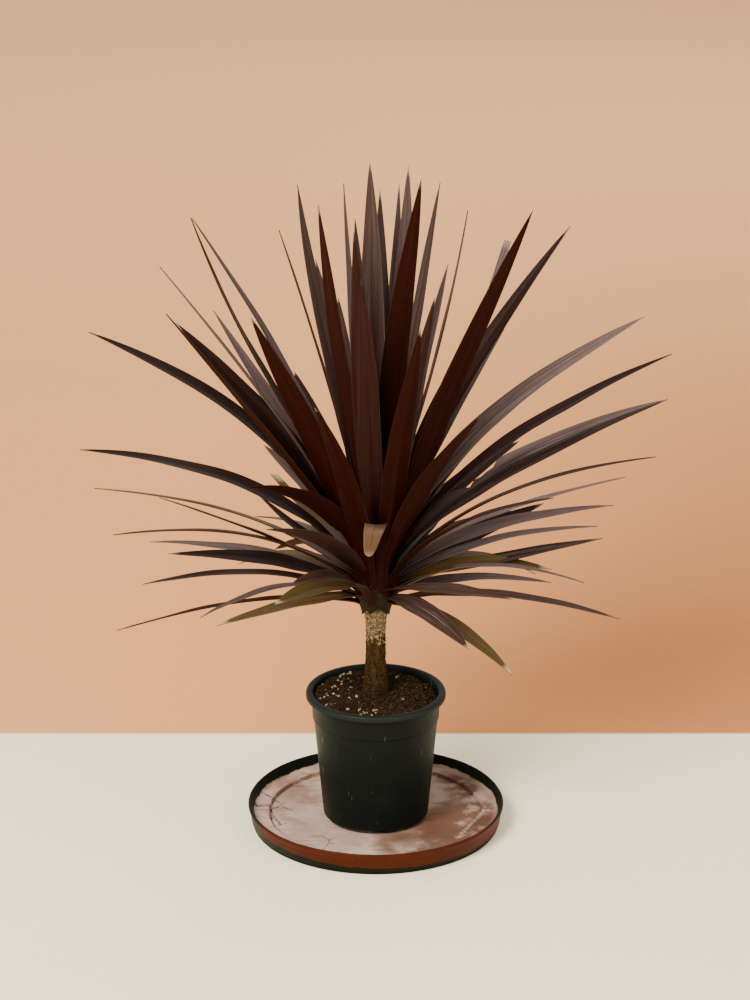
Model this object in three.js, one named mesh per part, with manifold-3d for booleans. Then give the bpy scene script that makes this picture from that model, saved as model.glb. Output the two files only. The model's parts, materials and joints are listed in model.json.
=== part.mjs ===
// A red star cordyline in a nursery pot on a saucer.
// Millimetres, +Z up. The origin is the centre of the saucer's flat underside, on the surface that it stands on.
import * as THREE from "three";
import { mergeVertices } from "three/addons/utils/BufferGeometryUtils.js";
import Module from "manifold-3d";

const wasm = await Module();
wasm.setup();

const CLEARANCE = 0.3; // between a piece and what it stands on or grows from

const SAUCER = {
  height: 28,
  rimRadius: 156.5,
  footRadius: 151,
  footHeight: 6,
  wall: 3.2,
  ledgeTop: 14.5,
  ledgeRadius: 131,
  floorTop: 10.5,
};

const POT = {
  height: 164,
  rimRadius: 85,
  rimRoll: 9,
  collarRadius: 77.8,
  collarHeight: 36,
  bodyRadius: 75.4,
  baseRadius: 64.3,
  footRing: 8,
  wall: 1.8,
  floor: 2.4,
  notches: 5,
  notchWidth: 12,
  notchHeight: 5,
  firstNotch: 275.5, // degrees
};
const POT_BOTTOM = SAUCER.floorTop + CLEARANCE;
const POT_TOP = POT_BOTTOM + POT.height;

const SOIL_LEVEL = POT_TOP - 6;
const SOIL_HEAP = 5;
const STEM_SOCKET = { radius: 17, depth: 45 };

// height and radius of the bare stem, and of the head that carries the leaf bases, from the soil up
const STEM = [
  [180, 15.6], [192, 13.8], [203, 12.6], [216, 11.7], [243, 11.4], [258, 12.2], [269, 13], [280, 14.2],
  [288, 16.6], [295, 19.6], [304, 22.6], [316, 24.2], [330, 22.4], [344, 18.4], [355, 13.4], [364, 8],
];
const STEM_TOP = 370;
const STEM_SIDES = 20;

const CROWN_LEVEL = 300; // the tips' heights are counted from here
const LOWEST_BASE = 287;
const HIGHEST_BASE = 362;
const BASE_SIDES = 8; // the bases are set out up this many sides of the head
const BASE_DEPTH = 4; // how far a leaf's base reaches in before it is cut to the head

const BLADE_THICKNESS = 1.6;
const BASE_WIDTH = 0.5; // as a share of the blade's full width
const WIDEST = 0.42; // how far along the blade it reaches that width
const TAPER = 3.8; // the higher, the longer the sides stay parallel before the point
const CHANNEL = { base: 0.34, blade: 0.13 }; // how far the edges rise, as a share of the half width
const STEEPER = 1.5; // a leaf that flattens out leaves the head this many times its bow above its mean slope
const EARLY = 0.33; // lengths of the curve's two handles, as shares of the leaf's length
const LATE = 0.42;
const STATIONS = [0, 0.07, 0.15, 0.25, 0.37, 0.5, 0.63, 0.76, 0.88, 0.96];

const TONES = { dark: 0x3b1a1b, bronze: 0x5e4440, mauve: 0x6c5355, olive: 0x6d6433 };

// Each leaf by its tip: the bearing in degrees (0 is right and 90 away from the viewer), its reach from the
// stem and its rise above the crown's level, its bow in degrees, which is how far it flattens out towards the tip,
// its bend to one side in hundredths of its length, its width, its turn about its own rib in degrees, and its
// colour. A last number below 1 is a leaf that has lost its point, at that share of its outline.
const LEAVES = [
  // the upright heart
  [172, 113, 448, 2, -1, 25, -10, "dark"],
  [129, 147, 476, -13, -2, 34, -18, "bronze"],
  [209, 75, 492, -3, 1, 30, -18, "dark"],
  [101, 202, 455, -13, 0, 22, -50, "mauve"],
  [112, 65, 450, 1, 0, 26, -12, "dark"],
  [94, 100, 508, 0, 0, 36, 0, "bronze"],
  [88, 144, 462, -3, -1, 29, -15, "dark"],
  [81, 178, 460, -2, -1, 26, 30, "dark"],
  [74, 140, 494, -5, -1, 34, 5, "bronze"],
  [295, 120, 543, 4, 0, 33, 14, "dark"],
  [29, 85, 498, -1, 2, 24, -8, "dark"],
  [4, 106, 474, -5, 0, 20, 0, "dark"],
  [255, 96, 476, -2, 0, 28, -5, "dark"],
  [262, 120, 430, 4, 0, 30, 10, "dark"],
  [303, 122, 402, 0, -1, 29, 5, "dark"],
  // the right half, from steep to level
  [68, 236, 348, 3, 0, 31, 30, "mauve"],
  [334, 197, 500, 3, 0, 33, 38, "dark"],
  [36, 195, 407, -8, -1, 28, 8, "mauve", 0.84],
  [2, 225, 455, 8, -2, 30, -32, "dark"],
  [45, 220, 284, 6, 0, 28, 10, "mauve"],
  [16, 334, 320, 15, 1, 35, -18, "mauve"],
  [42, 275, 205, 14, 1, 29, 10, "mauve"],
  [46, 170, 175, 0, 0, 24, 20, "dark"],
  [356, 345, 310, 12, 2, 30, -12, "dark"],
  [7, 350, 232, 12, 2, 37, -25, "mauve"],
  [355, 330, 185, 17, 0, 21, 8, "dark"],
  [340, 306, 187, 9, -2, 22, 0, "dark"],
  [22, 314, 70, 11, 3, 25, -8, "mauve"],
  [20, 288, 50, 13, 0, 27, 5, "mauve"],
  [9, 277, 55, -1, 3, 28, -5, "bronze"],
  [8, 215, 20, 21, -1, 28, -12, "olive"],
  [358, 250, 18, 22, 3, 22, 10, "mauve"],
  [347, 296, -5, 11, 2, 25, 0, "bronze"],
  [324, 198, -56, 14, 4, 30, 0, "olive"],
  [307, 180, -12, 14, 0, 30, -12, "bronze"],
  [64, 190, 40, 10, 1, 34, -5, "mauve"],
  [325, 248, 175, 14, 1, 26, 0, "dark"],
  [38, 265, 56, 4, 1, 28, -25, "dark"],
  [25, 238, -25, 12, -1, 21, -10, "mauve"],
  [60, 245, 55, 6, 0, 24, 20, "dark"],
  // the left half, from steep to level
  [175, 215, 462, -9, -3, 31, -5, "dark"],
  [143, 276, 420, 5, -2, 28, -25, "bronze"],
  [210, 165, 373, 2, 0, 33, -44, "dark"],
  [148, 230, 318, -3, -3, 28, 0, "mauve"],
  [185, 250, 415, 4, 0, 18, 0, "bronze"],
  [200, 254, 378, 1, 2, 30, -10, "dark"],
  [174, 235, 332, 8, 0, 32, 35, "dark"],
  [186, 334, 340, 16, -5, 36, 15, "dark"],
  [128, 250, 205, 7, 1, 28, -15, "bronze"],
  [190, 350, 205, 18, -3, 34, 8, "dark"],
  [125, 243, 120, 10, -1, 28, 12, "bronze"],
  [131, 192, 100, -3, 1, 22, -18, "olive", 0.8],
  [172, 342, 118, 15, 0, 22, -18, "bronze"],
  [190, 258, 140, 3, -1, 22, -15, "dark"],
  [194, 317, 105, 17, -4, 22, -12, "bronze"],
  [163, 288, 35, 12, -1, 24, 0, "bronze"],
  [176, 250, 45, 10, -2, 29, 10, "dark"],
  [189, 280, 30, 14, -2, 28, -5, "dark"],
  [190, 313, -25, 10, -1, 21, -28, "dark"],
  [206, 230, 10, 25, 1, 24, -10, "bronze"],
  [217, 231, 16, 3, -2, 36, -5, "olive"],
  [241, 238, 70, 7, -3, 32, 15, "olive"],
  [248, 254, 106, 13, 1, 28, 20, "bronze"],
  [225, 208, 190, 23, 0, 27, -45, "dark"],
  [237, 228, 155, 12, 1, 26, -30, "bronze"],
  [118, 225, 45, 6, 0, 28, -25, "mauve"],
  [139, 189, 80, -1, 3, 20, -8, "dark"],
  // the front and back of the crown, which its sides hide in the photograph
  [288, 162, 382, 2, 0, 30, 10, "dark"],
  [250, 200, 300, 9, 0, 30, 0, "dark"],
  [302, 222, 290, 8, -1, 28, 10, "dark"],
  [306, 262, 78, 4, 0, 27, -10, "bronze"],
  [57, 250, 298, 3, 1, 27, -15, "dark"],
  [108, 240, 352, 8, 0, 28, -5, "bronze"],
  [80, 272, 328, 3, 0, 28, 5, "dark"],
  [100, 272, 292, 9, 1, 29, 22, "bronze"],
  [110, 302, 190, 5, 0, 33, 20, "dark"],
  [65, 270, 220, 4, 0, 30, 0, "dark"],
  [90, 300, 130, 10, 0, 30, 0, "bronze"],
  [50, 278, 120, 14, 0, 28, -20, "dark"],
  [75, 322, 60, 12, 0, 28, 0, "mauve"],
  [105, 310, 40, 13, 0, 28, 0, "bronze"],
  [57, 340, 0, 11, 0, 26, -55, "bronze"],
  [120, 307, 0, 17, 1, 23, -12, "mauve"],
  [95, 330, -20, 19, 0, 28, 0, "dark"],
  [90, 270, -45, 23, 0, 28, 0, "olive"],
  [70, 288, -32, 19, -1, 26, 0, "bronze"],
  [118, 274, -36, 22, -1, 28, -25, "bronze"],
  [43, 275, -48, 26, -3, 25, -20, "olive"],
  [131, 266, -40, 23, 4, 25, 20, "olive"],
];

// one leaf at the front is creased across, and its outer end hangs down towards the viewer
const CREASED_LEAF = {
  path: [[-2, -10, 345], [0, -34, 380], [0, -58, 409], [-1, -66, 411], [-4, -73, 403], [-9, -79, 378]],
  width: 26,
  tone: "bronze",
};

const radians = THREE.MathUtils.degToRad;
const smooth = (x) => THREE.MathUtils.smoothstep(x, 0, 1);
const point = ([x, y, z]) => new THREE.Vector3(x, y, z);

function solidFrom(geometry) {
  const plain = geometry.clone();
  plain.deleteAttribute("normal");
  plain.deleteAttribute("uv");
  const merged = mergeVertices(plain, 1e-4);
  return new wasm.Manifold(
    new wasm.Mesh({
      numProp: 3,
      vertProperties: Float32Array.from(merged.attributes.position.array),
      triVerts: Uint32Array.from(merged.index.array),
    })
  );
}

function geometryFrom(solid) {
  const { vertProperties, triVerts } = solid.getMesh();
  const geometry = new THREE.BufferGeometry();
  geometry.setAttribute("position", new THREE.BufferAttribute(Float32Array.from(vertProperties), 3));
  geometry.setIndex(new THREE.BufferAttribute(Uint32Array.from(triVerts), 1));
  return geometry;
}

// turns a list of [radius, height] about the vertical axis; the list runs anticlockwise in the (radius, height) plane
function turned(profile, sides) {
  const outline = profile.map(([radius, height]) => new THREE.Vector2(radius, height));
  return new THREE.LatheGeometry(outline, sides).rotateX(Math.PI / 2);
}

function reshape(geometry, move) {
  const { position } = geometry.attributes;
  const vertex = new THREE.Vector3();
  for (let i = 0; i < position.count; i += 1) {
    vertex.fromBufferAttribute(position, i);
    move(vertex);
    position.setXYZ(i, vertex.x, vertex.y, vertex.z);
  }
  return geometry;
}

function makeSaucer() {
  const { height, rimRadius, footRadius, footHeight, wall, ledgeTop, ledgeRadius, floorTop } = SAUCER;
  const inside = rimRadius - wall;
  return turned(
    [
      [0, 0], [footRadius - 1, 0], [footRadius, 1], [footRadius, footHeight - 1],
      [footRadius + 1.6, footHeight], [rimRadius - 1.5, height - 7],
      [rimRadius, height - 4], [rimRadius, height - 1], [rimRadius - 1, height], [inside + 0.8, height],
      [inside, height - 0.8], [inside - 3.4, ledgeTop + 3], [inside - 6, ledgeTop],
      [ledgeRadius, ledgeTop], [ledgeRadius - 1.5, floorTop], [0, floorTop],
    ],
    48
  );
}

function makePot() {
  const { height, rimRadius, rimRoll, collarRadius, collarHeight, bodyRadius, baseRadius, wall, floor } = POT;
  const { footRing, notches, notchWidth, notchHeight, firstNotch } = POT;
  const collar = height - collarHeight;
  const chamfer = 3.3;
  const outline = [
    [0, 2], [baseRadius - chamfer - footRing, 2], [baseRadius - chamfer - footRing + 1, 0],
    [baseRadius - chamfer, 0], [baseRadius, notchHeight], [bodyRadius, collar],
    [collarRadius - 0.9, collar + 2], [collarRadius, height - rimRoll],
    [rimRadius - 1.2, height - rimRoll + 0.4], [rimRadius, height - rimRoll + 2], [rimRadius, height - 3],
    [rimRadius - 1, height - 0.8], [rimRadius - 3, height], [collarRadius + 0.6, height],
    [collarRadius - wall + 0.4, height - 1.6], [collarRadius - wall - 0.2, collar + 2],
    [bodyRadius - wall, collar - 1], [baseRadius - wall, notchHeight + 1], [baseRadius - chamfer - wall, 2 + floor],
    [0, 2 + floor],
  ];
  let pot = solidFrom(turned(outline, 40));
  const notchInside = baseRadius - footRing - 2;
  const notchOutside = baseRadius + 4;
  for (let i = 0; i < notches; i += 1) {
    const notch = new THREE.BoxGeometry(notchOutside - notchInside, notchWidth, 2 * notchHeight);
    notch.translate((notchInside + notchOutside) / 2, 0, 0);
    notch.rotateZ(radians(firstNotch + (360 / notches) * i));
    pot = pot.subtract(solidFrom(notch));
  }
  return geometryFrom(pot);
}

function soilRelief(x, y) {
  const broad = Math.sin(x * 0.071 + 1.3) * Math.cos(y * 0.083 - 0.4) + 0.6 * Math.sin((x + 1.7 * y) * 0.127);
  const crumb = Math.sin(x * 0.41 + 2.1) * Math.sin(y * 0.37 + 0.6) + 0.7 * Math.sin((x - y) * 0.53);
  return 1.3 * broad + 0.8 * crumb;
}

function makeSoil() {
  const bottom = 2 + POT.floor + CLEARANCE;
  const lowWall = POT.baseRadius - POT.wall - 4;
  const level = SOIL_LEVEL - POT_BOTTOM;
  const edge = POT.collarRadius - POT.wall - 0.2 - 2 * CLEARANCE;
  const step = POT.height - POT.collarHeight;
  const { radius, depth } = STEM_SOCKET;
  const rings = [edge - 1.5, 66, 57, 48, 40, 32, 26, radius + 1.5];
  const profile = [
    [0, bottom], [lowWall, bottom], [POT.baseRadius - POT.wall - 2 * CLEARANCE, POT.notchHeight + 2.5],
    [POT.bodyRadius - POT.wall - 2 * CLEARANCE, step - 1], [edge - 0.5, step + 3], [edge, level - 5],
    ...rings.map((ring) => [ring, level]),
    [radius, level - 1], [radius, level - depth], [0, level - depth],
  ];
  const soil = turned(profile, 40);
  return reshape(soil, (vertex) => {
    const out = Math.hypot(vertex.x, vertex.y);
    if (vertex.z > level - 3 && out < edge - 0.2) {
      const heap = smooth((edge - out) / 40) * SOIL_HEAP;
      vertex.z += heap + soilRelief(vertex.x, vertex.y) * smooth((out - radius + 1) / 8);
    }
  });
}

function stemProfile(grow) {
  return [
    [0, SOIL_LEVEL - STEM_SOCKET.depth + CLEARANCE - grow],
    [STEM_SOCKET.radius - CLEARANCE + grow, SOIL_LEVEL - STEM_SOCKET.depth + CLEARANCE - grow],
    [STEM_SOCKET.radius - CLEARANCE + grow, SOIL_LEVEL + SOIL_HEAP],
    ...STEM.map(([height, radius]) => [radius + grow, height]),
    [0, STEM_TOP + grow],
  ];
}

// the old leaf scars ring the stem, and its lower part is ribbed lengthwise where the roots flare
function makeStem() {
  return reshape(turned(stemProfile(0), STEM_SIDES), (vertex) => {
    const { x, y, z } = vertex;
    if (z > STEM[0][0] - 1 && z < LOWEST_BASE - 8) {
      const bearing = Math.atan2(y, x);
      const scars = 0.5 * Math.sin(z * 0.9 + 3 * bearing);
      const ribs = 0.7 * Math.sin(5 * bearing + 0.02 * z) * smooth((240 - z) / 60);
      const radius = Math.hypot(x, y);
      vertex.x *= 1 + (scars + ribs) / radius;
      vertex.y *= 1 + (scars + ribs) / radius;
    }
  });
}

function headRadius(height) {
  const above = STEM.findIndex(([level]) => level > height);
  const [lowLevel, lowRadius] = STEM[above - 1];
  const [highLevel, highRadius] = STEM[above];
  return THREE.MathUtils.mapLinear(height, lowLevel, highLevel, lowRadius, highRadius);
}

// a leaf's width at a share s of its length: a narrow clasping base, the broad blade and a long point
function bladeWidth(width, s) {
  return width * (BASE_WIDTH + (1 - BASE_WIDTH) * smooth(s / WIDEST)) * (1 - s ** TAPER) ** 0.9;
}

// a closed blade along a curve: four points round each station, and a point at the tip
function blade(curve, width, turn, share = 1) {
  const corners = [];
  const start = curve.getPoint(0);
  const end = curve.getPoint(1);
  const heading = new THREE.Vector3(end.x - start.x, end.y - start.y, 0).normalize();
  const across = new THREE.Vector3(-heading.y, heading.x, 0);
  for (const s of STATIONS) {
    const centre = curve.getPoint(s);
    const along = curve.getTangent(s);
    const upper = new THREE.Vector3().crossVectors(along, across).normalize();
    const side = new THREE.Vector3().crossVectors(upper, along).normalize();
    const twist = -radians(turn) * smooth(s / 0.4);
    upper.applyAxisAngle(along, twist);
    side.applyAxisAngle(along, twist);
    const half = bladeWidth(width, s * share) / 2;
    const lift = half * THREE.MathUtils.lerp(CHANNEL.base, CHANNEL.blade, smooth(s / WIDEST));
    const rib = (BLADE_THICKNESS / 2) * (1 - 0.35 * s);
    const edge = centre.clone().addScaledVector(upper, lift);
    corners.push(
      edge.clone().addScaledVector(side, half),
      centre.clone().addScaledVector(upper, rib),
      edge.clone().addScaledVector(side, -half),
      centre.clone().addScaledVector(upper, -rib)
    );
  }
  corners.push(end);
  const faces = [0, 2, 1, 0, 3, 2];
  for (let i = 0; i < STATIONS.length - 1; i += 1) {
    for (let k = 0; k < 4; k += 1) {
      const a = 4 * i + k;
      const b = 4 * i + ((k + 1) % 4);
      const evenSide = k % 2 === 0;
      const quad = evenSide ? [a, b, b + 4, a, b + 4, a + 4] : [a, b, a + 4, b, b + 4, a + 4];
      faces.push(...quad);
    }
  }
  const last = 4 * (STATIONS.length - 1);
  for (let k = 0; k < 4; k += 1) {
    faces.push(last + k, last + ((k + 1) % 4), last + 4);
  }
  const geometry = new THREE.BufferGeometry();
  geometry.setAttribute("position", new THREE.Float32BufferAttribute(corners.flatMap((p) => p.toArray()), 3));
  geometry.setIndex(faces);
  return solidFrom(geometry);
}

// The curve from a leaf's base on the head to its tip. It leaves more steeply than the straight line to the tip
// and flattens out along its way, and may bend to one side.
function leafCurve([bearing, reach, rise, bow, bend], baseLevel) {
  const heading = new THREE.Vector3(Math.cos(radians(bearing)), Math.sin(radians(bearing)), 0);
  const sideways = new THREE.Vector3(-heading.y, heading.x, 0);
  const direction = (slope) => heading.clone().multiplyScalar(Math.cos(slope)).setZ(Math.sin(slope));
  const base = heading.clone().multiplyScalar(headRadius(baseLevel) - BASE_DEPTH).setZ(baseLevel);
  const tip = heading.clone().multiplyScalar(reach).setZ(CROWN_LEVEL + rise);
  const length = base.distanceTo(tip);
  const slope = Math.asin((tip.z - base.z) / length);
  const aside = (bend / 100) * length;
  const leaving = direction(slope + radians(STEEPER * Math.max(bow, 0)));
  const arriving = direction(slope - radians(bow));
  const early = base.clone().addScaledVector(leaving, EARLY * length).addScaledVector(sideways, aside);
  const late = tip.clone().addScaledVector(arriving, -LATE * length).addScaledVector(sideways, aside);
  return new THREE.CubicBezierCurve3(base, early, late, tip);
}

// On each side of the head the oldest leaves reach out lowest, so the bases climb it in the order of the slopes.
function baseLevels(leaves) {
  const slope = ([, reach, rise]) => Math.atan2(rise, reach);
  const sides = Array.from({ length: BASE_SIDES }, () => []);
  leaves.forEach(([bearing], i) => sides[Math.round((bearing / 360) * BASE_SIDES) % BASE_SIDES].push(i));
  const levels = [];
  for (const side of sides) {
    side.sort((i, j) => slope(leaves[i]) - slope(leaves[j]));
    side.forEach((leaf, rank) => {
      levels[leaf] = THREE.MathUtils.lerp(LOWEST_BASE, HIGHEST_BASE, (rank + 0.5) / side.length);
    });
  }
  return levels;
}

function largestPiece(solid) {
  const pieces = solid.decompose();
  return pieces.reduce((best, piece) => (piece.volume() > best.volume() ? piece : best));
}

function makeLeaves() {
  const head = solidFrom(turned(stemProfile(CLEARANCE), STEM_SIDES));
  const levels = baseLevels(LEAVES);
  const leaves = LEAVES.map((leaf, i) => {
    const [, , , , , width, turn, tone, share] = leaf;
    return { solid: blade(leafCurve(leaf, levels[i]), width, turn, share), tone };
  });
  const creased = new THREE.CatmullRomCurve3(CREASED_LEAF.path.map(point));
  leaves.push({ solid: blade(creased, CREASED_LEAF.width, 0), tone: CREASED_LEAF.tone });
  return leaves.map(({ solid, tone }) => ({ solid: largestPiece(solid.subtract(head)), tone }));
}

// leaves that cross are grown together, so each bunch is one body clear of every other
function bunches(leaves) {
  const bunchOf = leaves.map((leaf, i) => i);
  const rootOf = (i) => (bunchOf[i] === i ? i : rootOf(bunchOf[i]));
  for (let i = 0; i < leaves.length; i += 1) {
    for (let j = i + 1; j < leaves.length; j += 1) {
      if (rootOf(i) !== rootOf(j) && !leaves[i].solid.intersect(leaves[j].solid).isEmpty()) {
        bunchOf[rootOf(j)] = rootOf(i);
      }
    }
  }
  const groups = new Map();
  leaves.forEach((leaf, i) => {
    const root = rootOf(i);
    groups.set(root, [...(groups.get(root) ?? []), i]);
  });
  return [...groups.values()];
}

function named(name, geometry, color, roughness = 0.6) {
  const material = new THREE.MeshStandardMaterial({ color, roughness, metalness: 0, flatShading: true });
  const mesh = new THREE.Mesh(geometry, material);
  mesh.name = name;
  return mesh;
}

const plant = new THREE.Group();
const saucer = named("saucer", makeSaucer(), 0xa5532f);
const pot = named("pot", makePot(), 0x27312f, 0.45);
const soil = named("soil", makeSoil(), 0x33261c, 1);
pot.position.z = POT_BOTTOM;
soil.position.z = POT_BOTTOM;
plant.add(saucer, pot, soil, named("stem", makeStem(), 0x8d7350, 0.9));

const leaves = makeLeaves();
for (const members of bunches(leaves)) {
  const solid = members.map((i) => leaves[i].solid).reduce((whole, leaf) => whole.add(leaf));
  const numbers = members.map((i) => String(i + 1).padStart(2, "0")).join("_");
  const name = members.length > 1 ? `leaves_${numbers}` : `leaf_${numbers}`;
  plant.add(named(name, geometryFrom(solid), TONES[leaves[members[0]].tone]));
}

export default plant;
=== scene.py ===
"""A red star cordyline in a nursery pot on a saucer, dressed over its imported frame. Lengths are in metres."""

import json
import math
import random

import bmesh
import bpy
from mathutils import Matrix, Vector, noise


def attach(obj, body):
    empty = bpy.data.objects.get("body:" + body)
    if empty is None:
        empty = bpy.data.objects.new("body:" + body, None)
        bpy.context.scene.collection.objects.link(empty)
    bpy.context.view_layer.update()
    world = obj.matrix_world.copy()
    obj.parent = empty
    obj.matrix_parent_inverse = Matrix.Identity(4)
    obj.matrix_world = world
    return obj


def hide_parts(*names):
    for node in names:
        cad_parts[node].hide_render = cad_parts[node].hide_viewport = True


MM = 0.001
PER_METRE = 1000.0  # millimetres, for places read inside a material

# Each leaf by its tip, as the frame has it: bearing in degrees, reach and rise above the crown's level in
# millimetres, bow in degrees, bend to one side in hundredths of its length, width in millimetres, turn about
# its own rib in degrees, tone, and, where a leaf has lost its point, the share of its length that is left
LEAVES = [
    (172, 113, 448, 2, -1, 25, -10, "dark"), (129, 147, 476, -13, -2, 34, -18, "bronze"),
    (209, 75, 492, -3, 1, 30, -18, "dark"), (101, 202, 455, -13, 0, 22, -50, "mauve"),
    (112, 65, 450, 1, 0, 26, -12, "dark"), (94, 100, 508, 0, 0, 36, 0, "bronze"),
    (88, 144, 462, -3, -1, 29, -15, "dark"), (81, 178, 460, -2, -1, 26, 30, "dark"),
    (74, 140, 494, -5, -1, 34, 5, "bronze"), (295, 120, 543, 4, 0, 33, 14, "dark"),
    (29, 85, 498, -1, 2, 24, -8, "dark"), (4, 106, 474, -5, 0, 20, 0, "dark"),
    (255, 96, 476, -2, 0, 28, -5, "dark"), (262, 120, 430, 4, 0, 30, 10, "dark"),
    (303, 122, 402, 0, -1, 29, 5, "dark"), (68, 236, 348, 3, 0, 31, 30, "mauve"),
    (334, 197, 500, 3, 0, 33, 38, "dark"), (36, 195, 407, -8, -1, 28, 8, "mauve", 0.84),
    (2, 225, 455, 8, -2, 30, -32, "dark"), (45, 220, 284, 6, 0, 28, 10, "mauve"),
    (16, 334, 320, 15, 1, 35, -18, "mauve"), (42, 275, 205, 14, 1, 29, 10, "mauve"),
    (46, 170, 175, 0, 0, 24, 20, "dark"), (356, 345, 310, 12, 2, 30, -12, "dark"),
    (7, 350, 232, 12, 2, 37, -25, "mauve"), (355, 330, 185, 17, 0, 21, 8, "dark"),
    (340, 306, 187, 9, -2, 22, 0, "dark"), (22, 314, 70, 11, 3, 25, -8, "mauve"),
    (20, 288, 50, 13, 0, 27, 5, "mauve"), (9, 277, 55, -1, 3, 28, -5, "bronze"),
    (8, 215, 20, 21, -1, 28, -12, "olive"), (358, 250, 18, 22, 3, 22, 10, "mauve"),
    (347, 296, -5, 11, 2, 25, 0, "bronze"), (324, 198, -56, 14, 4, 30, 0, "olive"),
    (307, 180, -12, 14, 0, 30, -12, "bronze"), (64, 190, 40, 10, 1, 34, -5, "mauve"),
    (325, 248, 175, 14, 1, 26, 0, "dark"), (38, 265, 56, 4, 1, 28, -25, "dark"),
    (25, 238, -25, 12, -1, 21, -10, "mauve"), (60, 245, 55, 6, 0, 24, 20, "dark"),
    (175, 215, 462, -9, -3, 31, -5, "dark"), (143, 276, 420, 5, -2, 28, -25, "bronze"),
    (210, 165, 373, 2, 0, 33, -44, "dark"), (148, 230, 318, -3, -3, 28, 0, "mauve"),
    (185, 250, 415, 4, 0, 18, 0, "bronze"), (200, 254, 378, 1, 2, 30, -10, "dark"),
    (174, 235, 332, 8, 0, 32, 35, "dark"), (186, 334, 340, 16, -5, 36, 15, "dark"),
    (128, 250, 205, 7, 1, 28, -15, "bronze"), (190, 350, 205, 18, -3, 34, 8, "dark"),
    (125, 243, 120, 10, -1, 28, 12, "bronze"), (131, 192, 100, -3, 1, 22, -18, "olive", 0.8),
    (172, 342, 118, 15, 0, 22, -18, "bronze"), (190, 258, 140, 3, -1, 22, -15, "dark"),
    (194, 317, 105, 17, -4, 22, -12, "bronze"), (163, 288, 35, 12, -1, 24, 0, "bronze"),
    (176, 250, 45, 10, -2, 29, 10, "dark"), (189, 280, 30, 14, -2, 28, -5, "dark"),
    (190, 313, -25, 10, -1, 21, -28, "dark"), (206, 230, 10, 25, 1, 24, -10, "bronze"),
    (217, 231, 16, 3, -2, 36, -5, "olive"), (241, 238, 70, 7, -3, 32, 15, "olive"),
    (248, 254, 106, 13, 1, 28, 20, "bronze"), (225, 208, 190, 23, 0, 27, -45, "dark"),
    (237, 228, 155, 12, 1, 26, -30, "bronze"), (118, 225, 45, 6, 0, 28, -25, "mauve"),
    (139, 189, 80, -1, 3, 20, -8, "dark"), (288, 162, 382, 2, 0, 30, 10, "dark"),
    (250, 200, 300, 9, 0, 30, 0, "dark"), (302, 222, 290, 8, -1, 28, 10, "dark"),
    (306, 262, 78, 4, 0, 27, -10, "bronze"), (57, 250, 298, 3, 1, 27, -15, "dark"),
    (108, 240, 352, 8, 0, 28, -5, "bronze"), (80, 272, 328, 3, 0, 28, 5, "dark"),
    (100, 272, 292, 9, 1, 29, 22, "bronze"), (110, 302, 190, 5, 0, 33, 20, "dark"),
    (65, 270, 220, 4, 0, 30, 0, "dark"), (90, 300, 130, 10, 0, 30, 0, "bronze"),
    (50, 278, 120, 14, 0, 28, -20, "dark"), (75, 322, 60, 12, 0, 28, 0, "mauve"),
    (105, 310, 40, 13, 0, 28, 0, "bronze"), (57, 340, 0, 11, 0, 26, -55, "bronze"),
    (120, 307, 0, 17, 1, 23, -12, "mauve"), (95, 330, -20, 19, 0, 28, 0, "dark"),
    (90, 270, -45, 23, 0, 28, 0, "olive"), (70, 288, -32, 19, -1, 26, 0, "bronze"),
    (118, 274, -36, 22, -1, 28, -25, "bronze"), (43, 275, -48, 26, -3, 25, -20, "olive"),
    (131, 266, -40, 23, 4, 25, 20, "olive"),
]

# the leaf at the front that is creased across: its number, the points of its rib and its width in millimetres
CREASED_LEAF = len(LEAVES) + 1
CREASED_PATH = [(-2, -10, 345), (0, -34, 380), (0, -58, 409), (-1, -66, 411), (-4, -73, 403), (-9, -79, 378)]
CREASED_WIDTH = 26
CREASE = 0.5

# height and radius of the stem and of the head that carries the leaf bases, in millimetres
STEM = [
    (180, 15.6), (192, 13.8), (203, 12.6), (216, 11.7), (243, 11.4), (258, 12.2), (269, 13), (280, 14.2),
    (288, 16.6), (295, 19.6), (304, 22.6), (316, 24.2), (330, 22.4), (344, 18.4), (355, 13.4), (364, 8),
]
STEM_BOTTOM = 150
SUNK_RADIUS = 16
OLD_BARK = 240
BARK_SCRAPS = 420
SOIL_LEVEL = 168.8
CROWN_LEVEL = 300

# how the blades leave the head: the levels of their bases, the sides that share them, and how deep they sit
LOWEST_BASE = 287
HIGHEST_BASE = 362
BASE_SIDES = 8
BASE_DEPTH = 4

# a blade's outline and curve: its width at the foot as a share, where it is widest, and how late it narrows,
# how much steeper it leaves than it arrives, and where its two handles lie as shares of its length
BASE_WIDTH = 0.5
WIDEST = 0.42
TAPER = 3.8
STEEPER = 1.5
EARLY = 0.33
LATE = 0.42

# a blade's thickness at its rib in millimetres, and at its edges as a share of that
RIB_THICKNESS = 1.5
EDGE_THICKNESS = 0.45

# how many faces a blade has across and along
ACROSS = 8
ALONG = 46

# where a leaf's clasping base begins and ends, as shares of the blade's length from its foot
SHEATH_START = -0.12
SHEATH_END = 0.08

# leaves with a bitten edge: where along the blade, on which side, and how deep as a share of the half width
BITTEN = {24: (0.62, -1, 0.30), 25: (0.40, 1, 0.75)}

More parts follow.
